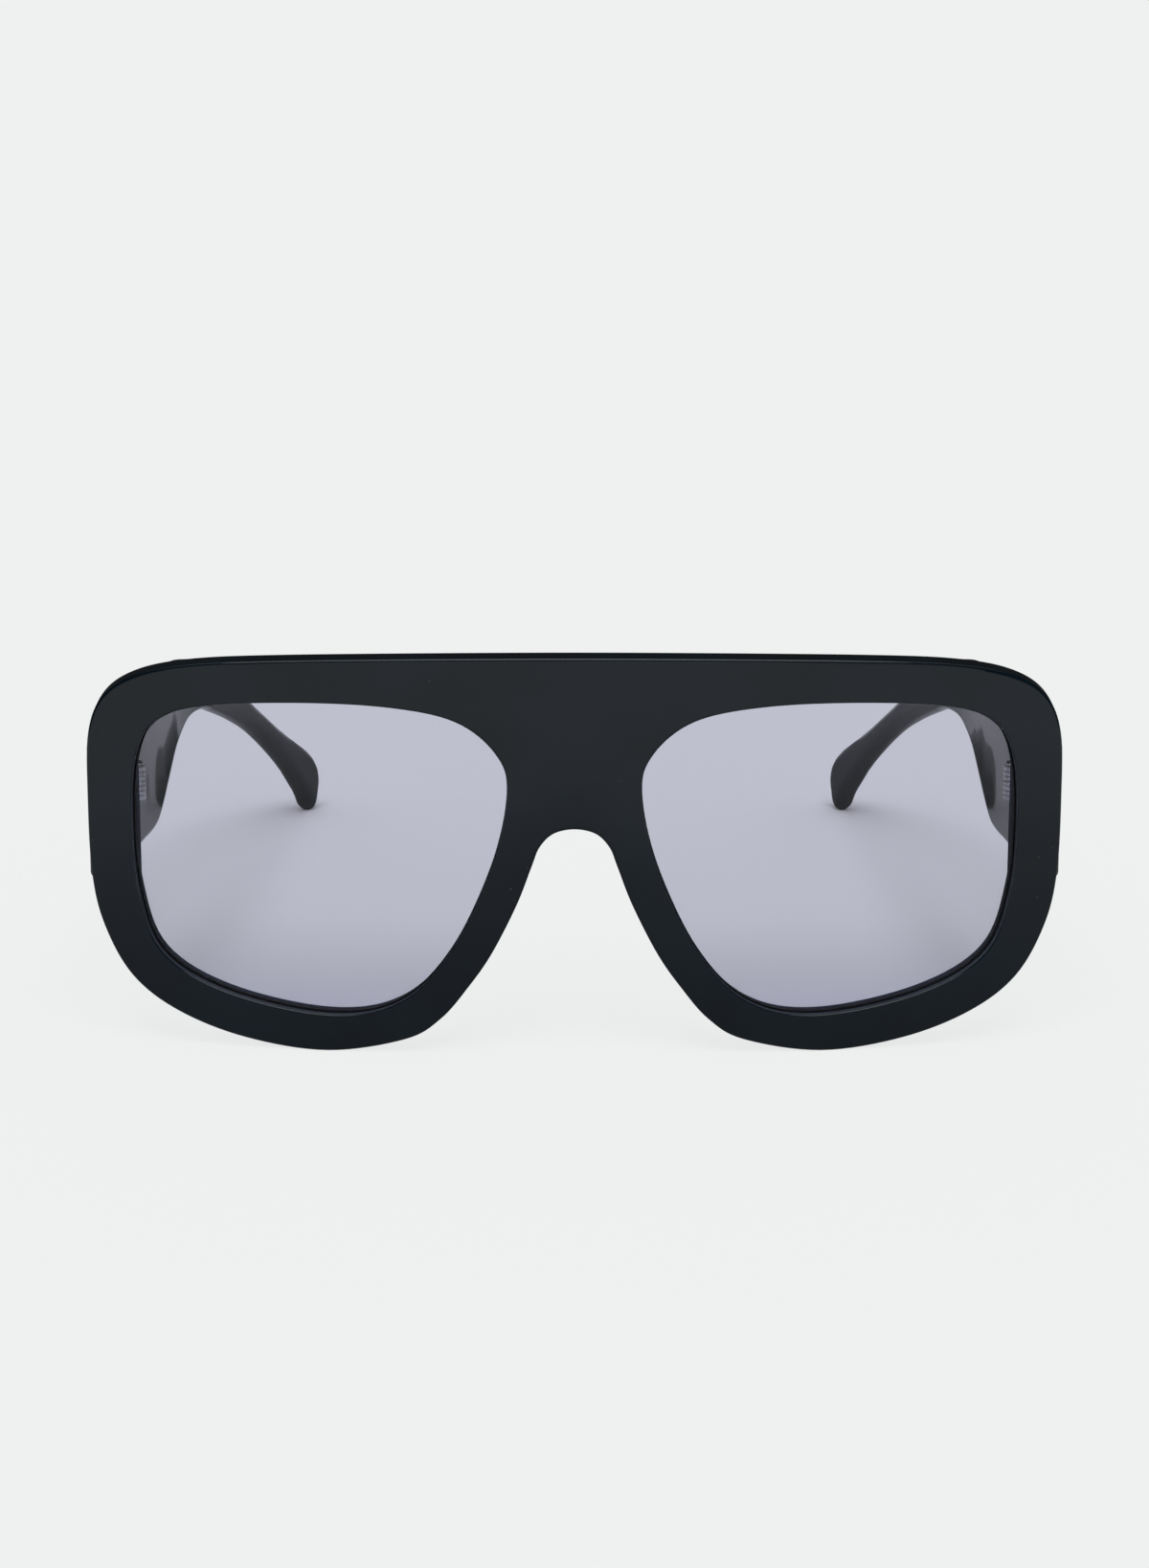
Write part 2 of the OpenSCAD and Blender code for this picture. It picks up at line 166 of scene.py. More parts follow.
class FrontSizes(bpy.types.PropertyGroup):
    """Sizes of the front, its lens openings and the lenses."""

    lens_w: length("Lens width", 57.5, "Width of one lens opening")
    lens_h: length("Lens height", 49.2, "Height of one lens opening")
    bridge_w: length("Bridge", 20.4, "Distance between the two lens openings")
    lens_t: length("Lens thickness", 2, "Thickness of a lens")
    lens_inset: length("Lens inset", 1.1, "How far the lens lies behind the front face")
    groove_depth: length("Groove depth", 0.8, "Depth of the groove that holds the lens")
    groove_w: length("Groove width", 1, "Width of the groove and of the lens's tongue")
    clearance: length("Lens clearance", 0.05, "Clearance between the lens and its groove")
    rim_side: length("Side rim", 6.8, "Width of the rim beside the temples")
    rim_top: length("Top rim", 7.5, "Width of the rim above the lens")
    rim_bottom: length("Bottom rim", 5.8, "Width of the rim below the lens")
    thickness: length("Front thickness", 5.2, "Thickness of the acetate front")
    wrap_radius: length("Wrap radius", 350, "Radius of the front's curve, seen from above")
    arch_h: length("Arch height", 35.9, "Height of the top of the nose arch above the table")
    arch_w: length("Arch width", 13, "Width of the nose arch at its shoulders")
    endpiece_t: length("End piece", 1.3, "How far the end pieces stand back from the rim")
    endpiece_proud: length("End piece proud", 0.2, "How far the end pieces stand out past the rim")
    front_edge: length("Front edge", 0.35, "Rounding of the outer edge of the front face")
    back_edge: length("Back edge", 1.3, "Rounding of the outer edge at the back")
    opening_edge: length("Opening edge", 0.2, "Rounding of the lens opening's front edge")
    opening_back: length("Opening back edge", 0.7, "Rounding of the lens opening's back edge")
    lens_edge: length("Lens edge", 0.12, "Chamfer round a lens")


class TempleSizes(bpy.types.PropertyGroup):
    """Sizes of the temples."""

    depth: length("Overall depth", 145, "Depth from the front face to the temple tips")
    root_z: length("Root height above table", 25, "Height of the lower edge of the temple root")
    root_h: length("Root height", 22.2, "Height of the temple root")
    root_t: length("Root thickness", 6.4, "Thickness of the temple root")
    arm_t: length("Arm thickness", 4, "Thickness of the temple arm")
    tip_t: length("Tip thickness", 3.4, "Thickness of the temple tip")
    tip_h: length("Tip rounding", 12, "Height over which the end of the tip is rounded")
    keel: length("Keel", 2.6, "Height over which a tip narrows to where it stands")
    lean: angle("Lean", 2, "Angle at which the temples lean in towards the head")
    tip_radius: length("Tip radius", 212, "Radius of the inward curve of the temple tips")
    edge: length("Edge", 1.3, "Rounding of the long edges")
    butt_gap: length("Butt gap", 0.15, "Gap between the front and an open temple")


class HingeSizes(bpy.types.PropertyGroup):
    """Sizes of the barrel hinges and of the nose pads."""

    back: length("Axis behind butt", 2.3, "Distance from the butt face back to the hinge axis")
    inward: length("Axis inwards", 0.4, "How far the axis lies inwards of the temple's inner face")
    knuckle_d: length("Knuckle diameter", 2.9, "Diameter of the hinge knuckles")
    leaf_t: length("Leaf thickness", 1, "Thickness of the hinge leaves")
    cover: length("Leaf cover", 0.3, "Thickness of the acetate skin over the temple's leaf")
    web_w: length("Web width", 1.4, "Width of the webs that carry the front's knuckles")
    notch: length("Notch clearance", 0.2, "Clearance round the knuckles in the temple's notch")
    seat: length("Seat clearance", 0.03, "Clearance round a sunk leaf")
    wear_edge: length("Metal edge", 0.06, "Bevel on the edges of the hinge and the screws")
    pad_len: length("Pad length", 12.6, "Length of a nose pad")
    pad_w: length("Pad width", 4.8, "Widest part of a nose pad")
    pad_lean: angle("Pad lean", 24, "Lean of the pads from upright")


class Finishes(bpy.types.PropertyGroup):
    """Colours of the finishes."""

    acetate: paint("Acetate", (0.0022, 0.0056, 0.0094), "Colour of the acetate")
    milled: paint("Milled acetate", (0.036, 0.043, 0.056), "Colour of the acetate where it is matt")
    tint: paint("Lens tint", (0.593, 0.603, 0.708), "Colour of light that has passed a lens")
    silver: paint("Nickel silver", (0.9, 0.89, 0.87), "Colour of the hinges")
    steel: paint("Steel", (0.56, 0.57, 0.58), "Colour of the screws and core wires")
    table: paint("Table", (0.9, 0.9, 0.895), "Colour of the floor")


class Studio(bpy.types.PropertyGroup):
    """The camera of the photograph and the light."""

    distance: length("Camera distance", 600, "Distance of the camera from its target")
    elevation: angle("Camera elevation", 15, "Angle of the camera above the horizontal")
    target_z: length("Target height", 43.1, "Height of the camera's target above the table")
    lens: bpy.props.FloatProperty(
        name="Lens", description="Focal length in millimetres", default=91.38, min=1)
    overhead: bpy.props.FloatProperty(
        name="Overhead light", description="Strength of the wide overhead light", default=1.84, min=0)
    spread: angle("Overhead spread", 42, "Angle that the overhead light fills")
    tilt: angle("Overhead tilt", 27, "Angle by which the overhead light comes from the camera's side")
    dome: share("Dome", 0.44, "Brightness of the soft light from all sides")
    lift: share("Shadow lift", 0.9, "How far the table's shadows are lifted to the backdrop")


# Half outline of the front from the top middle outwards: shares of its half width and its height
TOP_AND_SIDE = [
    (0, 1), (0.32, 0.9952), (0.62, 0.9824), (0.79, 0.965), (0.897, 0.933), (0.963, 0.8775),
    (0.9945, 0.785), (1, 0.63), (0.996, 0.43), (0.972, 0.295), (0.915, 0.17), (0.82, 0.085),
    (0.68, 0.025)]
# Nose arch upwards: its distance past the shoulder and its height, in shares of the arch's height
ARCH_SIDE = [
    (0.543, 0.06), (0.39, 0.155), (0.27, 0.3), (0.17, 0.45), (0.064, 0.665), (0, 0.835)]
# Top of the arch: shares of its half width and of its height
ARCH_TOP = [(0.815, 0.92), (0.492, 0.98), (0, 1)]
# Lens opening in shares of its width and height, from its nasal edge clockwise
OPENING = [
    (0, 0.725), (0.03, 0.85), (0.135, 0.95), (0.31, 0.992), (0.55, 1), (0.8, 0.98),
    (0.93, 0.925), (0.985, 0.81), (1, 0.62), (0.987, 0.38), (0.925, 0.18), (0.75, 0.06),
    (0.48, 0), (0.29, 0.045), (0.153, 0.21), (0.042, 0.49)]
# Side view of a temple: share of its length, and its edges in shares of their root heights
TEMPLE_EDGES = [
    (0, 1, 1), (0.05, 1.064, 0.996), (0.1, 1.048, 0.992), (0.15, 1.016, 0.987),
    (0.19, 0.996, 0.984), (0.225, 0.996, 0.98), (0.27, 1.044, 0.975), (0.33, 1.14, 0.966),
    (0.4, 1.248, 0.953), (0.475, 1.316, 0.932), (0.52, 1.324, 0.912), (0.576, 1.296, 0.876),
    (0.62, 1.248, 0.835), (0.656, 1.188, 0.79), (0.74, 1.012, 0.668), (0.82, 0.792, 0.526),
    (0.9, 0.476, 0.38), (0.95, 0.204, 0.293)]
# End of a temple tip: distances before the overall depth and heights, in shares of the tip's rounding
TIP_END = [(0.22, 0.008), (0.133, 0.075), (0.017, 0.3), (0, 0.533), (0.117, 0.8), (0.317, 0.992)]


# Curves

def smooth_curve(points, closed, steps):
    """The smooth curve through a row of points, with so many steps from each to the next."""
    p = np.asarray(points, float)
    count = len(p)
    spans = count if closed else count - 1

    def at(i):
        return p[i % count] if closed else p[min(max(i, 0), count - 1)]

    curve = []
    for i in range(spans):
        a, b, c, d = at(i - 1), at(i), at(i + 1), at(i + 2)
        for t in np.arange(steps) / steps:
            curve.append(0.5 * (2 * b + (c - a) * t + (2 * a - 5 * b + 4 * c - d) * t ** 2
                                + (3 * b - a - 3 * c + d) * t ** 3))
    if not closed:
        curve.append(p[-1])
    return np.array(curve)


def outward(loop):
    """Unit normals of a clockwise loop."""
    chord = np.roll(loop, -1, axis=0) - np.roll(loop, 1, axis=0)
    normal = np.stack([-chord[:, 1], chord[:, 0]], axis=1)
    return normal / np.linalg.norm(normal, axis=1)[:, None]


def clear_radius(loop, normals):
    """Radius of the largest circle inside a loop that touches it at each point."""
    gap = loop[:, None] - loop[None]
    ahead = (gap * normals[:, None]).sum(axis=2)
    reach = (gap ** 2).sum(axis=2) / np.maximum(2 * ahead, 1e-9)
    return np.where(ahead > 1e-9, reach, np.inf).min(axis=1)


def ease(t):
    """A smooth step from 0 to 1."""
    t = np.clip(t, 0, 1)
    return t * t * (3 - 2 * t)


class FrontPlan:
    """Outlines and curved faces of the front, in metres, with Y = 0 at the front face."""

    def __init__(self, s):
        self.s = s
        self.half_w = s.bridge_w / 2 + s.lens_w + s.rim_side
        self.height = s.rim_bottom + s.lens_h + s.rim_top
        nasal, temporal = s.bridge_w / 2, s.bridge_w / 2 + s.lens_w
        face = [float(self.face_y(x, 0)) for x in (nasal, temporal)]
        self.turn = math.atan2(face[1] - face[0], s.lens_w)
        self.eye = np.array([(nasal + temporal) / 2, sum(face) / 2])
        self.outer_x = self.half_w + s.endpiece_proud
        self.butt_y = float(self.face_y(self.half_w, s.thickness)) + s.endpiece_t

    def face_y(self, x, depth):
        """Depth in space of a point that lies a depth behind the curved front face."""
        r = self.s.wrap_radius
        return r - np.sqrt((r - depth) ** 2 - x ** 2)

    def on_face(self, p):
        """Points of a flat plate laid on the curved front face."""
        return np.stack([p[:, 0], self.face_y(p[:, 0], p[:, 1]), p[:, 2]], axis=1)

    def outline(self):
        """Clockwise outline of the whole front."""
        arch_x = self.s.arch_w / 2
        half = [(x * self.half_w, z * self.height) for x, z in TOP_AND_SIDE]
        half.append((0.51 * self.half_w, 0))
        half += [(arch_x + x * self.s.arch_h, z * self.s.arch_h) for x, z in ARCH_SIDE]
        half += [(x * arch_x, z * self.s.arch_h) for x, z in ARCH_TOP]
        other = [(-x, z) for x, z in half[-2:0:-1]]
        return smooth_curve(half + other, True, 8)

    def opening(self):
        """Clockwise outline of the wearer's left lens opening, in the plane square to that eye."""
        width = self.s.lens_w / math.cos(self.turn)
        return smooth_curve([((u - 0.5) * width, self.s.rim_bottom + z * self.s.lens_h)
                             for u, z in OPENING], True, 8)

    def outer_ring(self, loop, inset, depth):
        """Flat ring round the outline: x, depth behind the face, z."""
        p = loop - inset * outward(loop)
        return np.stack([p[:, 0], np.full(len(p), depth), np.maximum(p[:, 1], 0)], axis=1)

    def eye_ring(self, loop, growth, depth, side):
        """Flat ring round a lens opening, cut square to the eye."""
        p = loop + growth * outward(loop)
        along = np.array([math.cos(self.turn), math.sin(self.turn)])
        square = np.array([-along[1], along[0]])
        r = self.s.wrap_radius
        start = self.eye + p[:, :1] * along - np.array([0, r])
        reach = start @ square
        t = -reach - np.sqrt(reach ** 2 - (start ** 2).sum(axis=1) + (r - depth) ** 2)
        x = self.eye[0] + p[:, 0] * along[0] + t * square[0]
        return np.stack([side * x, np.full(len(p), depth), p[:, 1]], axis=1)


class TemplePlan:
    """Side and plan view of the wearer's left temple, in metres, with Y = 0 at the front face."""

    def __init__(self, s, front, hinge):
        self.s, self.front, self.hinge = s, front, hinge
        self.start = front.butt_y + s.butt_gap
        self.len = s.depth - self.start
        self.bend = self.start + BEND_START * self.len
        self.inner_x = front.outer_x - s.root_t
        self.axis = (self.inner_x - hinge.inward / math.cos(s.lean) - hinge.back * math.tan(s.lean),
                     front.butt_y + hinge.back)

    def inner(self, y):
        """Inner face of the temple in plan."""
        lean, r = self.s.lean, self.s.tip_radius
        straight = self.inner_x - (y - self.front.butt_y) * math.tan(lean)
        past = np.maximum(y - self.bend, 0)
        heading = np.arcsin(math.sin(lean) + past / r)
        turned = straight + past * math.tan(lean) - r * (math.cos(lean) - np.cos(heading))
        return np.where(past > 0, turned, straight)

    def thickness(self, y):
        """Thickness of the temple in plan."""
        s, butt = self.s, self.front.butt_y
        taper = ease((y - butt) / (self.start + TAPER_END * self.len - butt))
        end = ease((y - self.bend) / (s.depth - self.bend))
        return s.root_t + (s.arm_t - s.root_t) * taper + (s.tip_t - s.arm_t) * end

    def side_view(self):
        """Clockwise side view, drawn out past the butt face, where it is cut off later."""
        s = self.s
        top = s.root_z + s.root_h
        spare = -4 * MM
        lower = [(self.start + a * self.len, s.root_z * lo) for a, lo, up in TEMPLE_EDGES]
        upper = [(self.start + a * self.len, top * up) for a, lo, up in TEMPLE_EDGES]
        tip = [(s.depth - s.tip_h * a, s.tip_h * b) for a, b in TIP_END]
        lower.insert(0, (self.start + spare, s.root_z))
        upper.insert(0, (self.start + spare, top))
        return smooth_curve(lower + tip + upper[::-1], False, 6)[::-1]


def section(front_r, back_r, thickness, wall, arc=6, spread=0.35 * MM):
    """Profile of a plate's edge, from one face to the other: inset from the outline, and depth."""
    turns = [math.pi / 2 * i / arc for i in range(arc + 1)]
    near = [(front_r * (1 - math.sin(a)), front_r * (1 - math.cos(a))) for a in turns]
    far = [(back_r * (1 - math.cos(a)), thickness - back_r * (1 - math.sin(a))) for a in turns]
    return [(front_r + spread, 0)] + near + wall + far + [(back_r + spread, thickness)]


# Modelling tools

def nothing_selected():
    """Object mode with nothing selected."""
    if bpy.context.object and bpy.context.object.mode != "OBJECT":
        bpy.ops.object.mode_set(mode="OBJECT")
    bpy.ops.object.select_all(action="DESELECT")


def pick(piece, *others):
    """Only these objects selected, and the first one active."""
    nothing_selected()
    for o in (*others, piece):
        o.select_set(True)
    bpy.context.view_layer.objects.active = piece


def named(name):
    """The object just added, under its own name."""
    piece = bpy.context.active_object
    piece.name = name
    piece.data.name = name
    return piece


@contextmanager
def editing(piece, action="SELECT", kind="VERT"):
    """Edit mode on a piece, with all or none of its mesh selected."""
    pick(piece)
    bpy.ops.object.mode_set(mode="EDIT")
    bpy.ops.mesh.select_mode(type=kind)
    bpy.ops.mesh.select_all(action=action)
    yield
    bpy.ops.object.mode_set(mode="OBJECT")


def drawn_band(name, rings, second=()):
    """A band drawn as one ring of points and extruded from ring to ring.

    The steps from ring to ring that are numbered in second take the second slot.
    """
    nothing_selected()
    bpy.ops.mesh.primitive_circle_add(vertices=len(rings[0]), radius=10 * MM, fill_type="NOTHING")
    band = named(name)
    with editing(band):
        mesh = bmesh.from_edit_mesh(band.data)
        place = mesh.verts.layers.int.new("place")
        mesh.verts.layers.int.new("level")
        for i, v in enumerate(mesh.verts):
            v[place] = i
            v.co = rings[0][i]
        for k, ring in enumerate(rings[1:], 1):
            bmesh.update_edit_mesh(band.data)
            bpy.ops.mesh.extrude_region_move()
            mesh = bmesh.from_edit_mesh(band.data)
            place = mesh.verts.layers.int["place"]
            level = mesh.verts.layers.int["level"]
            for v in mesh.verts:
                if v.select:
                    v.co = ring[v[place]]
                    v[level] = k
        for f in mesh.faces:
            if min(v[level] for v in f.verts) in second:
                f.material_index = SECOND_SLOT
        bmesh.update_edit_mesh(band.data)
    return band


def close_face(piece, axis, depth, cuts, cut_axis):
    """Fills the flat face at a depth along an axis and cuts it into strips that can be curved."""
    normal = np.eye(3)[cut_axis]
    with editing(piece, "DESELECT", "EDGE"):
        mesh = bmesh.from_edit_mesh(piece.data)
        if "sheet" not in mesh.faces.layers.int:
            mesh.faces.layers.int.new("sheet")
        before = set(f.index for f in mesh.faces)
        for e in mesh.edges:
            if e.is_boundary and all(abs(v.co[axis] - depth) < ONE_POINT for v in e.verts):
                e.select_set(True)
        bmesh.update_edit_mesh(piece.data)
        bpy.ops.mesh.fill(use_beauty=True)
        mesh = bmesh.from_edit_mesh(piece.data)
        sheet = mesh.faces.layers.int["sheet"]
        mark = 1 + max(f[sheet] for f in mesh.faces)
        for f in mesh.faces:
            if f.select or f.index not in before:
                f[sheet] = mark
        bmesh.update_edit_mesh(piece.data)
        bpy.ops.mesh.select_mode(type="FACE")
        for cut in cuts:
            mesh = bmesh.from_edit_mesh(piece.data)
            sheet = mesh.faces.layers.int["sheet"]
            for f in mesh.faces:
                f.select_set(f[sheet] == mark)
            bmesh.update_edit_mesh(piece.data)
            bpy.ops.mesh.bisect(plane_co=cut * normal, plane_no=normal, threshold=IN_PLANE)


def joined(piece, *others):
    """Makes these objects one."""
    pick(piece, *others)
    bpy.ops.object.join()


def placed(piece, where):
    """Moves the piece's points by a rule that takes and gives an array of points."""
    count = len(piece.data.vertices)
    points = np.zeros(count * 3)
    piece.data.vertices.foreach_get("co", points)
    points = where(points.reshape(-1, 3))
    piece.data.vertices.foreach_set("co", points.ravel())
    piece.data.update()


def in_place(piece, depth):
    """Moves a piece to the middle of the glasses' own depth."""
    placed(piece, lambda p: p - [0, depth / 2, 0])


def faces_out(piece):
    """Merges doubles and turns every face outwards."""
    with editing(piece):
        bpy.ops.mesh.remove_doubles(threshold=ONE_POINT)
        bpy.ops.mesh.normals_make_consistent(inside=False)


def sawn_off(piece, y):
    """Cuts off what lies in front of a depth, and closes the cut."""
    with editing(piece):
        bpy.ops.mesh.bisect(plane_co=(0, y, 0), plane_no=(0, 1, 0), use_fill=True, clear_inner=True)
    faces_out(piece)


def cut_with(piece, operation, *tools):
    """Joins tools to the piece, or cuts them out of it, and removes them."""
    for tool in tools:
        faces_out(tool)
        pick(piece)
        cut = piece.modifiers.new("cut", "BOOLEAN")
        cut.operation, cut.object, cut.solver = operation, tool, "EXACT"
        bpy.ops.object.modifier_apply(modifier=cut.name)
        pick(tool)
        bpy.ops.object.delete()
    pick(piece)


def block(name, low, high):
    """A box between two corners, with its place in its mesh."""
    low, high = np.array(low, float), np.array(high, float)
    nothing_selected()
    bpy.ops.mesh.primitive_cube_add(size=1, location=(low + high) / 2)
    box = named(name)
    box.scale = high - low
    bpy.ops.object.transform_apply(location=True, rotation=False, scale=True)
    return box


def turned_about(piece, point, turn):
    """Turns a piece about an upright axis."""
    centre = Vector((*point, 0))
    move = Matrix.Translation(centre) @ Matrix.Rotation(turn, 4, "Z") @ Matrix.Translation(-centre)
    piece.data.transform(move)


def mirrored(piece, name):
    """A copy of the wearer's left piece for the right, with its own mesh."""
    pick(piece)
    bpy.ops.object.duplicate(linked=False)
    copy = named(name)
    with editing(copy):
        bpy.ops.transform.resize(value=(-1, 1, 1), center_override=(0, 0, 0))
        bpy.ops.mesh.normals_make_consistent(inside=False)
    return copy


def smoothed(piece):
    """Smooth shading that keeps sharp corners and lets the large faces set the normals."""
    pick(piece)
    bpy.ops.object.shade_smooth_by_angle(angle=SHARP_CORNER)
    weigh = piece.modifiers.new("weigh", "WEIGHTED_NORMAL")
    weigh.keep_sharp = True
    bpy.ops.object.modifier_apply(modifier=weigh.name)


def wears(piece, *materials):
    """Gives the piece its materials in the order of its slots, and keeps its faces' slot numbers."""
    if piece.data.materials:
        piece.data.materials.clear()
    for m in materials:
        piece.data.materials.append(m)


def stands_for(piece, node):
    """The piece takes the place of a CAD node and rides on its body."""
    for body, nodes in frame["record"]["behaviour"]["bodies"].items():
        if node in nodes:
            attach(piece, body)
    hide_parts(node)


def made_pair(piece, kind, slot, *materials):
    """Finishes the wearer's left piece and its mirrored copy for the right."""
    for side, half in (("left", piece), ("right", mirrored(piece, f"{kind}_right_visual"))):
        wears(half, *materials)
        smoothed(half)
        stands_for(half, f"{kind}_{side}")


# Materials

def new_material(name):
    """An empty node material with its output."""
    m = bpy.data.materials.new(name)
    m.use_nodes = True
    m.node_tree.nodes.clear()
    return m, m.node_tree


def add(tree, kind, settings=None, **inputs):
    """A node with its settings, and its inputs, by name or as i0, i1 and so on, set or linked."""
    n = tree.nodes.new(kind)
    for key, value in (settings or {}).items():
        setattr(n, key, value)
    for key, value in inputs.items():
        name = key.replace("_", " ")
        socket = n.inputs[int(name[1:])] if name[1:].isdigit() and name[0] == "i" else n.inputs[name]
        if isinstance(value, bpy.types.NodeSocket):
            tree.links.new(value, socket)
        else:
            socket.default_value = value
    return n


def maths(tree, operation, a, b=0.0):
    """A Math node's value."""
    return add(tree, "ShaderNodeMath", {"operation": operation}, i0=a, i1=b).outputs[0]


def ramp(tree, value, low, high, to_low=0.0, to_high=1.0):
    """A value carried smoothly from one range to another."""
    return add(tree, "ShaderNodeMapRange", {"interpolation_type": "SMOOTHSTEP"}, Value=value,
               From_Min=low, From_Max=high, To_Min=to_low, To_Max=to_high).outputs["Result"]


def mixed(tree, factor, a, b):
    """A colour between two. Inputs 6 and 7 and output 2 of a Mix node are its colours."""
    return add(tree, "ShaderNodeMix", {"data_type": "RGBA"}, i0=factor, i6=a, i7=b).outputs[2]


def object_place(tree):
    """Place on the piece, in its Object coordinates."""
    return add(tree, "ShaderNodeTexCoord").outputs["Object"]


def noise(tree, where, scale, detail):
    """A soft noise over a place."""
    return add(tree, "ShaderNodeTexNoise", Vector=where, Scale=scale, Detail=detail).outputs["Fac"]


def rgba(colour, factor=1.0):
    """A linear colour with an alpha of 1."""
    return (*(min(c * factor, 1) for c in colour), 1)


def group(name, inputs, outputs):
    """A shader node group with named number sockets."""
    tree = bpy.data.node_groups.new(name, "ShaderNodeTree")
    for socket, default in inputs:
        made = tree.interface.new_socket(socket, in_out="INPUT", socket_type="NodeSocketFloat")
        made.default_value = default
    for socket in outputs:
        tree.interface.new_socket(socket, in_out="OUTPUT", socket_type="NodeSocketFloat")
    return tree, tree.nodes.new("NodeGroupInput"), tree.nodes.new("NodeGroupOutput")


def handling_group():
    """Soft polish waves, hairline scratches and specks of dust, on Object coordinates."""
    tree, given, made = group(
        "handling", [("Wave", 0.5), ("Scratch", 0.5), ("Dust", 0.5)], ["Height", "Dull", "Speck"])
    where = object_place(tree)
    # Waves left by polishing, with faint upright streaks
    wave = noise(tree, where, scale=45.0, detail=1.0)
    upright = add(tree, "ShaderNodeMapping", Vector=where, Scale=(500, 500, 60)).outputs[0]
    streak = noise(tree, upright, scale=1.0, detail=1.0)
    height = maths(tree, "ADD", wave, maths(tree, "MULTIPLY", streak, 0.002))
    height = maths(tree, "MULTIPLY", height, given.outputs["Wave"])
    # Hairlines lie where a stretched noise is at its highest
    hairs = None
    for turn, stretch in HAIRLINES:
        along = add(tree, "ShaderNodeMapping", Vector=where, Rotation=(turn, turn / 2, turn),
                    Scale=stretch).outputs[0]
        hair = ramp(tree, noise(tree, along, scale=4.0, detail=0.0), 0.72, 0.8)
        hairs = hair if hairs is None else maths(tree, "MAXIMUM", hairs, hair)
    hairs = maths(tree, "MULTIPLY", hairs, given.outputs["Scratch"])
    height = maths(tree, "SUBTRACT", height, maths(tree, "MULTIPLY", hairs, 0.0004))
    haze = noise(tree, where, scale=160.0, detail=3.0)
    dull = maths(tree, "ADD", maths(tree, "MULTIPLY", hairs, 0.5), maths(tree, "MULTIPLY", haze, 0.5))
    cells = add(tree, "ShaderNodeTexVoronoi", {"feature": "F1"}, Vector=where, Scale=420.0,
                Randomness=1.0)
    # A cell's chance gives its speck a size, and a cell with a chance under 0.45 has none
    chance = add(tree, "ShaderNodeSeparateColor", Color=cells.outputs["Color"]).outputs[0]
    size = maths(tree, "MULTIPLY", chance, 0.1)
    speck = maths(tree, "LESS_THAN", cells.outputs["Distance"], maths(tree, "SUBTRACT", size, 0.045))
    speck = maths(tree, "MULTIPLY", speck, given.outputs["Dust"])
    for socket, value in (("Height", height), ("Dull", dull), ("Speck", speck)):
        tree.links.new(value, made.inputs[socket])
    return tree


def acetate_material(name, finishes, handling):
    """Polished black acetate, or a milled wall of the front with its fine cutter marks."""
    m, tree = new_material(name)
    colour_name, wave, rough_low, rough_high, shine = ACETATES[name]
    colour = getattr(finishes, colour_name)
    marks = add(tree, "ShaderNodeGroup", {"node_tree": handling}, Wave=wave, Scratch=0.25, Dust=0.6)
    where = object_place(tree)
    cloud = noise(tree, where, scale=45.0, detail=3.0)
    base = mixed(tree, ramp(tree, cloud, 0.3, 0.7), rgba(colour, 0.8), rgba(colour, 1.25))
    base = mixed(tree, maths(tree, "MULTIPLY", marks.outputs["Speck"], 0.5), base,
                 (0.16, 0.16, 0.155, 1))
    height = marks.outputs["Height"]
    if name == "milled_acetate":
        ribs = maths(tree, "MULTIPLY", milled_ribs(tree, where), 0.02)
        height = maths(tree, "ADD", height, ribs)
    rough = ramp(tree, marks.outputs["Dull"], 0.1, 0.9, rough_low, rough_high)
    rough = maths(tree, "ADD", rough, maths(tree, "MULTIPLY", marks.outputs["Speck"], 0.4))
    bump = add(tree, "ShaderNodeBump", Strength=1.0, Distance=0.001, Height=height)
    shader = add(tree, "ShaderNodeBsdfPrincipled", Base_Color=base, Roughness=rough,
                 Normal=bump.outputs[0], IOR=1.49, Specular_IOR_Level=shine)
    add(tree, "ShaderNodeOutputMaterial", Surface=shader.outputs[0])
    return m


def milled_ribs(tree, where):
    """Height of the cutter marks that run from front to back round each lens opening."""
    xyz = add(tree, "ShaderNodeSeparateXYZ", Vector=where).outputs
    beside = maths(tree, "SUBTRACT", maths(tree, "ABSOLUTE", xyz[0]), EYE_X)
    above = maths(tree, "SUBTRACT", xyz[2], EYE_Z)
    round_eye = maths(tree, "ARCTAN2", above, beside)
    wave = maths(tree, "SINE", maths(tree, "MULTIPLY", round_eye, RIBS))
    slow = noise(tree, where, scale=900.0, detail=2.0)
    return maths(tree, "ADD", maths(tree, "MULTIPLY", wave, 0.35), slow)


def lens_material(finishes, handling):
    """Tinted lens: clear to shadows through its tint, with a trace of dust."""
    m, tree = new_material("smoke_lens")
    marks = add(tree, "ShaderNodeGroup", {"node_tree": handling}, Wave=0.25, Scratch=0.25, Dust=0.25)
    tint = mixed(tree, maths(tree, "MULTIPLY", marks.outputs["Speck"], 0.5), rgba(finishes.tint),
                 rgba(finishes.tint, 0.8))
    rough = maths(tree, "MULTIPLY", marks.outputs["Speck"], 0.2)
    glass = add(tree, "ShaderNodeBsdfPrincipled", Base_Color=tint, Roughness=rough, IOR=1.26,
                Transmission_Weight=1.0)
    clear = add(tree, "ShaderNodeBsdfTransparent", Color=rgba([c ** 0.5 for c in finishes.tint]))
    path = add(tree, "ShaderNodeLightPath")
    both = add(tree, "ShaderNodeMixShader", i0=path.outputs["Is Shadow Ray"], i1=glass.outputs[0],
               i2=clear.outputs[0])
    add(tree, "ShaderNodeOutputMaterial", Surface=both.outputs[0])
    return m


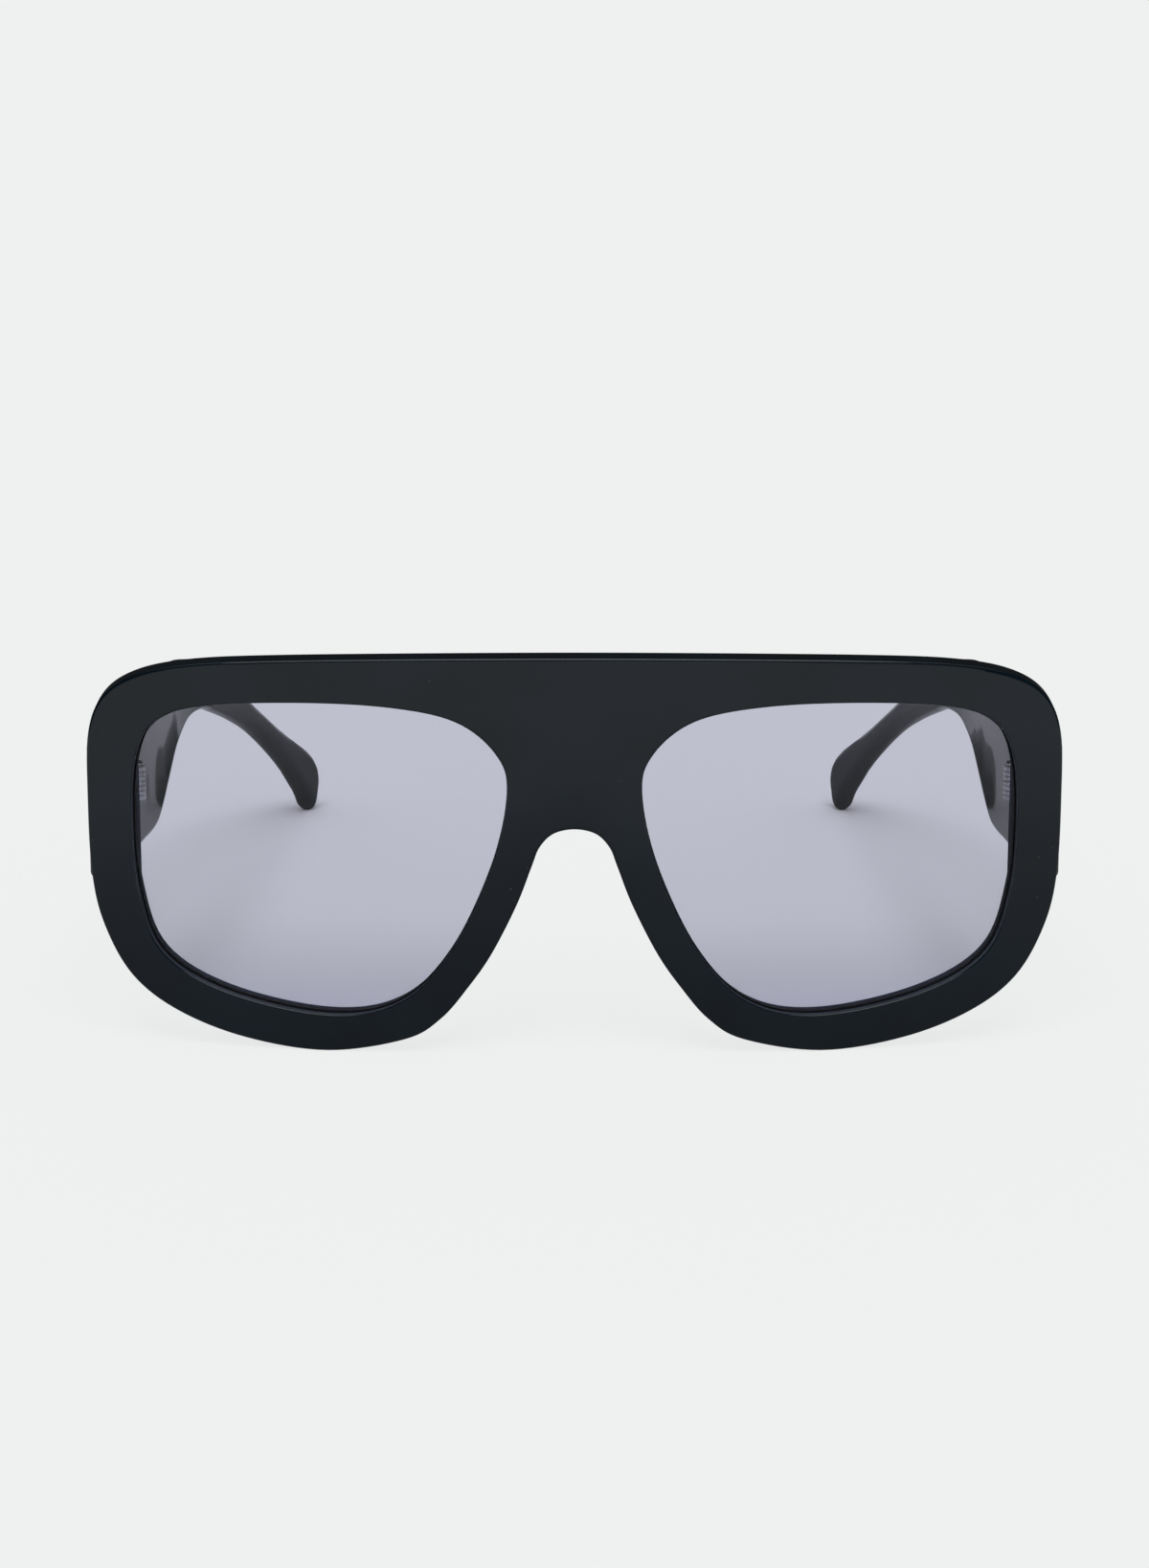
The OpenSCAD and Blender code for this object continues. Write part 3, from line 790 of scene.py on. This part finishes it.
def ground_material(finishes):
    """Matt ground edge of a lens, with painted shade: near black all over, as if shaded in its
    groove.
    """
    m, tree = new_material("ground_edge")
    where = object_place(tree)
    grain = noise(tree, where, scale=4000.0, detail=2.0)
    # Painted shade: the edge colour is kept near black for the shade its groove casts
    base = mixed(tree, grain, rgba(finishes.tint, 0.01), rgba(finishes.tint, 0.04))
    bump = add(tree, "ShaderNodeBump", Strength=0.4, Distance=0.00002, Height=grain)
    shader = add(tree, "ShaderNodeBsdfPrincipled", Base_Color=base, Normal=bump.outputs[0],
                 Roughness=0.7, Specular_IOR_Level=0.1)
    add(tree, "ShaderNodeOutputMaterial", Surface=shader.outputs[0])
    return m


def metal_material(name, finishes, handling):
    """Metal with a fine grain along one axis, dulled in patches."""
    m, tree = new_material(name)
    colour_name, grain, roughness, metallic = METALS[name]
    colour = getattr(finishes, colour_name)
    marks = add(tree, "ShaderNodeGroup", {"node_tree": handling}, Wave=0.2, Scratch=1.0, Dust=0.3)
    where = object_place(tree)
    along = add(tree, "ShaderNodeMapping", Vector=where, Scale=grain).outputs[0]
    brushed = noise(tree, along, scale=1.0, detail=2.0)
    patch = noise(tree, where, scale=900.0, detail=3.0)
    base = mixed(tree, ramp(tree, patch, 0.35, 0.7), rgba(colour), rgba(colour, 0.7))
    dull = maths(tree, "ADD", maths(tree, "MULTIPLY", brushed, 0.5),
                 maths(tree, "MULTIPLY", marks.outputs["Dull"], 0.5))
    rough = ramp(tree, dull, 0.2, 0.7, roughness - 0.07, roughness + 0.1)
    bump = add(tree, "ShaderNodeBump", Strength=0.3, Distance=0.00002, Height=brushed)
    shader = add(tree, "ShaderNodeBsdfPrincipled", Base_Color=base, Roughness=rough,
                 Normal=bump.outputs[0], Metallic=metallic)
    add(tree, "ShaderNodeOutputMaterial", Surface=shader.outputs[0])
    return m


def finish(name):
    """The material of a finish, made once."""
    if name in bpy.data.materials:
        return bpy.data.materials[name]
    finishes = bpy.context.scene.sunglasses_finishes
    handling = bpy.data.node_groups.get("handling") or handling_group()
    if name in METALS:
        return metal_material(name, finishes, handling)
    if name in ACETATES:
        return acetate_material(name, finishes, handling)
    if name == "smoke_lens":
        return lens_material(finishes, handling)
    if name == "ground_edge":
        return ground_material(finishes)
    raise ValueError(f"No finish is called {name}")


# Pieces

def plans():
    """Sizes and plans of the front, the temples and the hinges."""
    scene = bpy.context.scene
    front = FrontPlan(scene.sunglasses_front)
    hinge = scene.sunglasses_hinges
    return front, TemplePlan(scene.sunglasses_temples, front, hinge), hinge


def strips(low, high, step):
    """Places of the cuts between two ends."""
    count = int(round((high - low) / step))
    return [low + (high - low) * i / count for i in range(1, count)]


def end_bar(name, low, high, radius, inner_x):
    """An end piece: a bar along Y, rounded along its outer edges and milled on its inner side."""
    bar = block(name, low, high)
    wears(bar, finish("black_acetate"), finish("milled_acetate"))
    for f in bar.data.polygons:
        if all(abs(bar.data.vertices[v].co.x - inner_x) < IN_PLANE for v in f.vertices):
            f.material_index = SECOND_SLOT
    with editing(bar, "DESELECT", "EDGE"):
        for e in bmesh.from_edit_mesh(bar.data).edges:
            a, b = (v.co for v in e.verts)
            if abs(a.y - b.y) > IN_PLANE and abs(a.x - inner_x) > MM:
                e.select_set(True)
        bmesh.update_edit_mesh(bar.data)
        bpy.ops.mesh.bevel(offset=radius, segments=8, profile=0.5)
    return bar


class SUNGLASSES_OT_front(bpy.types.Operator):
    """Build the acetate front with its rims, nose arch and end pieces"""

    bl_idname = "sunglasses.front"
    bl_label = "Front"

    def execute(self, context):
        front, temple, hinge = plans()
        s = front.s
        outline = front.outline()
        profile = section(s.front_edge, s.back_edge, s.thickness, [])
        rim = drawn_band("frame_front_visual",
                         [front.outer_ring(outline, a, d) for a, d in profile])
        opening = front.opening()
        tongue = s.lens_inset + (s.lens_t - s.groove_w) / 2
        groove = [(0, tongue - s.clearance), (s.groove_depth, tongue - s.clearance),
                  (s.groove_depth, tongue + s.groove_w + s.clearance),
                  (0, tongue + s.groove_w + s.clearance)]
        profile = section(s.opening_edge, s.opening_back, s.thickness, groove)
        # Milled from the end of the front rounding to the last steps of the back one
        wall = range(7, len(profile) - 3)
        eyes = [drawn_band(f"opening_{name}",
                           [front.eye_ring(opening, a, d, side) for a, d in profile], wall)
                for name, side in SIDES.items()]
        for part in (rim, *eyes):
            wears(part, finish("black_acetate"), finish("milled_acetate"))
        joined(rim, *eyes)
        cuts = strips(-front.half_w, front.half_w, FRONT_STRIP)
        for depth in (0, s.thickness):
            close_face(rim, 1, depth, cuts, 0)
        placed(rim, front.on_face)
        faces_out(rim)
        # The leaf starts a seventh of its web's width inwards of the hinge axis
        leaf_start = temple.axis[0] - hinge.web_w / 7
        low_z = temple.s.root_z
        top_z = low_z + temple.s.root_h
        tools = []
        for name, side in SIDES.items():
            inner = leaf_start - hinge.leaf_t / 2
            xs = sorted((side * inner, side * front.outer_x))
            tools.append(end_bar(
                f"end_piece_{name}", (xs[0], front.butt_y - s.thickness * END_PIECE_REACH, low_z),
                (xs[1], front.butt_y, top_z), temple.s.edge, side * inner))
        cut_with(rim, "UNION", *tools)
        in_place(rim, temple.s.depth)
        for name, side in SIDES.items():
            low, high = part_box(f"front_hinge_{name}")
            butt = front.butt_y - temple.s.depth / 2
            ends = (leaf_start - hinge.seat, side * (high.x if side > 0 else low.x) + hinge.seat)
            xs = sorted(side * x for x in ends)
            pocket = block(f"pocket_{name}",
                           (xs[0], butt - hinge.leaf_t - hinge.seat, low.z - hinge.seat),
                           (xs[1], butt + MM, high.z + hinge.seat))
            cut_with(rim, "DIFFERENCE", pocket)
        smoothed(rim)
        stands_for(rim, "frame_front")
        return {"FINISHED"}


class SUNGLASSES_OT_lenses(bpy.types.Operator):
    """Build the two tinted lenses with the tongues that sit in the rims"""

    bl_idname = "sunglasses.lenses"
    bl_label = "Lenses"

    def execute(self, context):
        front, temple, _ = plans()
        s = front.s
        opening = front.opening()
        back = s.lens_inset + s.lens_t
        tongue = s.lens_inset + (s.lens_t - s.groove_w) / 2
        out, edge = -s.clearance, s.lens_edge
        profile = [(out - edge, s.lens_inset), (out, s.lens_inset + edge), (out, tongue),
                   (s.groove_depth + out, tongue), (s.groove_depth + out, tongue + s.groove_w),
                   (out, tongue + s.groove_w), (out, back - edge), (out - edge, back)]
        lens = drawn_band("lens_left_visual",
                          [front.eye_ring(opening, a, d, 1) for a, d in profile],
                          range(len(profile) - 1))
        cuts = strips(s.bridge_w / 2 - MM, s.bridge_w / 2 + s.lens_w + MM, LENS_STRIP)
        for depth in (s.lens_inset, back):
            close_face(lens, 1, depth, cuts, 0)
        placed(lens, front.on_face)
        faces_out(lens)
        in_place(lens, temple.s.depth)
        made_pair(lens, "lens", "tinted_lens", finish("smoke_lens"), finish("ground_edge"))
        return {"FINISHED"}


class SUNGLASSES_OT_nose_pads(bpy.types.Operator):
    """Build the two teardrop nose pads behind the rims"""

    bl_idname = "sunglasses.nose_pads"
    bl_label = "Nose pads"

    def execute(self, context):
        front, temple, hinge = plans()
        low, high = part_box("nose_pad_left")
        centre = (low + high) / 2
        nothing_selected()
        bpy.ops.mesh.primitive_uv_sphere_add(segments=64, ring_count=40, radius=0.5)
        pad = named("nose_pad_left_visual")

        def teardrop(p):
            along = p[:, 2] * 2
            width = 1 - PAD_TAPER * along
            x = p[:, 0] * hinge.pad_w * width
            y = p[:, 1] * hinge.pad_w * width
            return np.stack([x, y, p[:, 2] * hinge.pad_len], axis=1)

        placed(pad, teardrop)
        lean = Matrix.Rotation(-hinge.pad_lean, 4, "Y")
        back_y = float(front.face_y(centre.x, front.s.thickness)) - temple.s.depth / 2
        pad.data.transform(Matrix.Translation((centre.x, back_y + PAD_BEHIND, centre.z)) @ lean)
        sawn_off(pad, back_y - PAD_SUNK)
        made_pair(pad, "nose_pad", "acetate", finish("black_acetate"))
        return {"FINISHED"}


class SUNGLASSES_OT_temples(bpy.types.Operator):
    """Build the two acetate temples with their drop, curved tips and hinge notches"""

    bl_idname = "sunglasses.temples"
    bl_label = "Temples"

    def execute(self, context):
        _, plan, hinge = plans()
        s = plan.s
        view = plan.side_view()
        normals = outward(view)

        profile = section(s.edge, s.edge, FLAT_TEMPLE, [], 7)
        # The long edges grow rounder towards the tip, as far as its narrow end has room
        full = s.tip_t / 2 / s.edge
        grown = 1 + (full - 1) * ease((view[:, 0] - plan.bend) / (s.depth - plan.bend))
        room = TIP_ROOM * clear_radius(view, normals) / profile[0][0]
        rounder = np.minimum(grown, room)

        def ring(inset, depth):
            p = view - inset * rounder[:, None] * normals
            near = depth * grown
            far = FLAT_TEMPLE - (FLAT_TEMPLE - depth) * grown
            x = near if depth < FLAT_TEMPLE / 2 else far
            return np.stack([x, np.minimum(p[:, 0], s.depth), np.maximum(p[:, 1], 0)], axis=1)

        temple = drawn_band("temple_left_visual", [ring(a, d) for a, d in profile])
        cuts = strips(plan.start, s.depth, TEMPLE_STRIP)
        for depth in (0, FLAT_TEMPLE):
            close_face(temple, 0, depth, cuts, 1)

        def curved(p):
            """The plan's curve, with the tips rounded to a keel where they stand."""
            depth, y = p[:, 0], p[:, 1]
            middle = plan.inner(y) + plan.thickness(y) / 2
            outer = plan.inner(y) + plan.thickness(y) + depth - FLAT_TEMPLE
            x = np.where(depth < FLAT_TEMPLE / 2, plan.inner(y) + depth, outer)
            rise = np.clip(p[:, 2] / s.keel, 0, 1)
            width = KEEL_WIDTH + (1 - KEEL_WIDTH) * np.sqrt(1 - (1 - rise) ** 2)
            return np.stack([middle + (x - middle) * width, y, p[:, 2]], axis=1)

        placed(temple, curved)
        faces_out(temple)
        sawn_off(temple, plan.start)
        cut_with(temple, "DIFFERENCE", *self.hinge_room(plan, hinge))
        in_place(temple, s.depth)
        made_pair(temple, "temple", "acetate", finish("tumbled_acetate"))
        return {"FINISHED"}

    def hinge_room(self, plan, hinge):
        """Cutters for the webs and for the notch round the knuckles. The leaf stays covered."""
        low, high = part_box("front_hinge_left")
        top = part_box("hinge_screw_left")[1].z + hinge.notch
        x, y = plan.axis
        notch_r = hinge.knuckle_d / 2 + hinge.notch
        webs = block("web_room", (x - MM, y, low.z - hinge.seat),
                     (x + hinge.inward + hinge.leaf_t + hinge.seat, y + notch_r + hinge.seat,
                      high.z + hinge.seat))
        notch = block("notch", (x - MM, y - hinge.back - MM, low.z - hinge.notch),
                      (x + notch_r, y, top))
        nothing_selected()
        bpy.ops.mesh.primitive_cylinder_add(
            vertices=64, radius=notch_r, depth=top - low.z + hinge.notch,
            location=(x, y, (top + low.z - hinge.notch) / 2))
        barrel = named("barrel_room")
        bpy.ops.object.transform_apply(location=True, rotation=False, scale=False)
        tools = [webs, notch, barrel]
        for tool in tools:
            turned_about(tool, plan.axis, plan.s.lean)
        return tools


def bevelled_copy(node, width, material, shape=None):
    """A merged copy of a CAD node's mesh, moved by a rule if one is given, with softened edges."""
    source = frame["nodes"][node]
    nothing_selected()
    source.hide_viewport = False
    source.select_set(True)
    bpy.context.view_layer.objects.active = source
    bpy.ops.object.duplicate(linked=False)
    piece = named(f"{node}_visual")
    for key in list(piece.keys()):
        del piece[key]
    piece.parent = None
    faces_out(piece)
    with editing(piece):
        bpy.ops.mesh.dissolve_limited(angle_limit=FLAT_JOINT)
    if shape:
        placed(piece, shape)
    soften = piece.modifiers.new("soften", "BEVEL")
    soften.width, soften.segments, soften.limit_method = width, 2, "ANGLE"
    soften.angle_limit = BEVELLED_EDGE
    soften.use_clamp_overlap = True
    bpy.ops.object.modifier_apply(modifier=soften.name)
    wears(piece, finish(material))
    smoothed(piece)
    stands_for(piece, node)


class SUNGLASSES_OT_hinges(bpy.types.Operator):
    """Build the nickel silver hinges and their steel screws"""

    bl_idname = "sunglasses.hinges"
    bl_label = "Hinges and screws"

    def execute(self, context):
        _, plan, hinge = plans()
        width = hinge.wear_edge
        axis_y = plan.axis[1] - plan.s.depth / 2
        covered = axis_y + hinge.knuckle_d / 2 + hinge.notch / 2
        for side, sign in SIDES.items():

            def sunk(p, sign=sign):
                """The leaf moved outwards, under the temple's skin."""
                shift = np.where(p[:, 1] > covered, sign * hinge.cover, 0)
                return np.stack([p[:, 0] + shift, p[:, 1], p[:, 2]], axis=1)

            bevelled_copy(f"front_hinge_{side}", width, "nickel_silver")
            bevelled_copy(f"temple_hinge_{side}", width, "nickel_silver", sunk)
            bevelled_copy(f"hinge_screw_{side}", width, "turned_steel")
        return {"FINISHED"}


class SUNGLASSES_OT_core_wires(bpy.types.Operator):
    """Give the core wires inside the temples their steel"""

    bl_idname = "sunglasses.core_wires"
    bl_label = "Core wires"

    def execute(self, context):
        for side in SIDES:
            wire = frame["nodes"][f"core_wire_{side}"]
            for material_slot in wire.material_slots:
                material_slot.material = finish("bright_wire")
        return {"FINISHED"}


class SUNGLASSES_OT_studio(bpy.types.Operator):
    """Lay the pale table, light it softly and set up the photograph's camera"""

    bl_idname = "sunglasses.studio"
    bl_label = "Studio"

    def execute(self, context):
        studio = context.scene.sunglasses_studio
        nothing_selected()
        bpy.ops.mesh.primitive_plane_add(size=TABLE_SIZE, location=(0, 0, 0))
        floor = named("table")
        wears(floor, self.table_material(context.scene.sunglasses_finishes, studio))
        bpy.ops.object.light_add(type="SUN", location=(0, 0, 2), rotation=(studio.tilt, 0, 0))
        lamp = context.active_object
        lamp.name = "overhead_light"
        lamp.data.energy = studio.overhead
        lamp.data.angle = studio.spread
        self.room(context.scene, studio)
        reach = studio.distance
        camera_data = bpy.data.cameras.new("camera")
        camera = bpy.data.objects.new("camera", camera_data)
        context.scene.collection.objects.link(camera)
        camera_data.lens = studio.lens
        camera_data.sensor_width = 36
        front_y = CAD_BOX[0].y
        camera.location = (0, front_y - reach * math.cos(studio.elevation),
                           studio.target_z + reach * math.sin(studio.elevation))
        camera.rotation_euler = (math.pi / 2 - studio.elevation, 0, 0)
        context.scene.camera = camera
        context.scene.view_settings.view_transform = "Standard"
        return {"FINISHED"}

    def table_material(self, finishes, studio):
        """Pale matt table, lifted where the camera sees it and dimmed in parts in reflections."""
        m, tree = new_material("pale_table")
        where = object_place(tree)
        base = mixed(tree, noise(tree, where, scale=30.0, detail=2.0), rgba(finishes.table, 0.995),
                     rgba(finishes.table, 1.005))
        path = add(tree, "ShaderNodeLightPath")
        away = add(tree, "ShaderNodeVectorMath", {"operation": "LENGTH"}, i0=where).outputs["Value"]
        xyz = add(tree, "ShaderNodeSeparateXYZ", Vector=where).outputs
        beside = maths(tree, "MULTIPLY", ramp(tree, maths(tree, "ABSOLUTE", xyz[0]), *SIDE_SHADE),
                       ramp(tree, xyz[1], *BACK_SHADE))
        shaded = maths(tree, "MAXIMUM", ramp(tree, away, *NEAR_SHADE),
                       maths(tree, "MAXIMUM", ramp(tree, away, *FAR_SHADE), beside))
        mirrored_ray = maths(tree, "MULTIPLY", path.outputs["Is Glossy Ray"],
                             maths(tree, "SUBTRACT", 1.0, path.outputs["Is Transmission Ray"]))
        dim = maths(tree, "MULTIPLY", mirrored_ray, shaded)
        base = mixed(tree, dim, base, rgba(finishes.table, FULL_SHADE))
        shader = add(tree, "ShaderNodeBsdfPrincipled", Base_Color=base, Roughness=0.9,
                     Specular_IOR_Level=0.0)
        flat = add(tree, "ShaderNodeEmission", Color=rgba(BACKDROP), Strength=1.0)
        lifted = maths(tree, "MULTIPLY", path.outputs["Is Camera Ray"], studio.lift)
        both = add(tree, "ShaderNodeMixShader", i0=lifted, i1=shader.outputs[0], i2=flat.outputs[0])
        add(tree, "ShaderNodeOutputMaterial", Surface=both.outputs[0])
        return m

    def room(self, scene, studio):
        """Pale backdrop, and a dim room under a bright ceiling that only reflections see."""
        world = scene.world or bpy.data.worlds.new("room")
        scene.world = world
        world.use_nodes = True
        tree = world.node_tree
        tree.nodes.clear()
        where = add(tree, "ShaderNodeTexCoord").outputs["Generated"]
        xyz = add(tree, "ShaderNodeSeparateXYZ", Vector=where).outputs
        above = ramp(tree, xyz[2], 0.7, 0.95)
        seen = mixed(tree, above, rgba(DIM_ROOM), rgba(BACKDROP))
        path = add(tree, "ShaderNodeLightPath")
        level = maths(tree, "MULTIPLY", path.outputs["Is Transmission Ray"],
                      ramp(tree, xyz[2], 0.08, 0.16, 1.0, 0.0))
        straight = maths(tree, "MAXIMUM", path.outputs["Is Camera Ray"], level)
        colour = mixed(tree, straight, seen, rgba(BACKDROP))
        colour = mixed(tree, path.outputs["Is Diffuse Ray"], colour, rgba([studio.dome] * 3))
        shine = add(tree, "ShaderNodeBackground", Color=colour, Strength=1.0)
        add(tree, "ShaderNodeOutputWorld", Surface=shine.outputs[0])


OPERATORS = [SUNGLASSES_OT_front, SUNGLASSES_OT_lenses, SUNGLASSES_OT_nose_pads,
             SUNGLASSES_OT_temples, SUNGLASSES_OT_hinges, SUNGLASSES_OT_core_wires,
             SUNGLASSES_OT_studio]
GROUPS = {"sunglasses_front": FrontSizes, "sunglasses_temples": TempleSizes,
          "sunglasses_hinges": HingeSizes, "sunglasses_finishes": Finishes,
          "sunglasses_studio": Studio}


class SUNGLASSES_PT_panel(bpy.types.Panel):
    """Sizes, finishes and building steps of the sunglasses"""

    bl_idname = "SUNGLASSES_PT_panel"
    bl_label = "Sunglasses"
    bl_space_type = "VIEW_3D"
    bl_region_type = "UI"
    bl_category = "Sunglasses"

    def draw(self, context):
        for name, kind in GROUPS.items():
            box = self.layout.box()
            box.label(text=kind.__doc__)
            for field in kind.__annotations__:
                box.prop(getattr(context.scene, name), field)
        for operator in OPERATORS:
            self.layout.operator(operator.bl_idname)


CLASSES = (*GROUPS.values(), *OPERATORS, SUNGLASSES_PT_panel)


def register():
    for kind in CLASSES:
        bpy.utils.register_class(kind)
    for name, kind in GROUPS.items():
        setattr(bpy.types.Scene, name, bpy.props.PointerProperty(type=kind))


def unregister():
    for name in GROUPS:
        delattr(bpy.types.Scene, name)
    for kind in reversed(CLASSES):
        bpy.utils.unregister_class(kind)


def main():
    register()
    for operator in OPERATORS:
        group_name, step = operator.bl_idname.split(".")
        getattr(getattr(bpy.ops, group_name), step)()


if __name__ == "__main__":
    main()
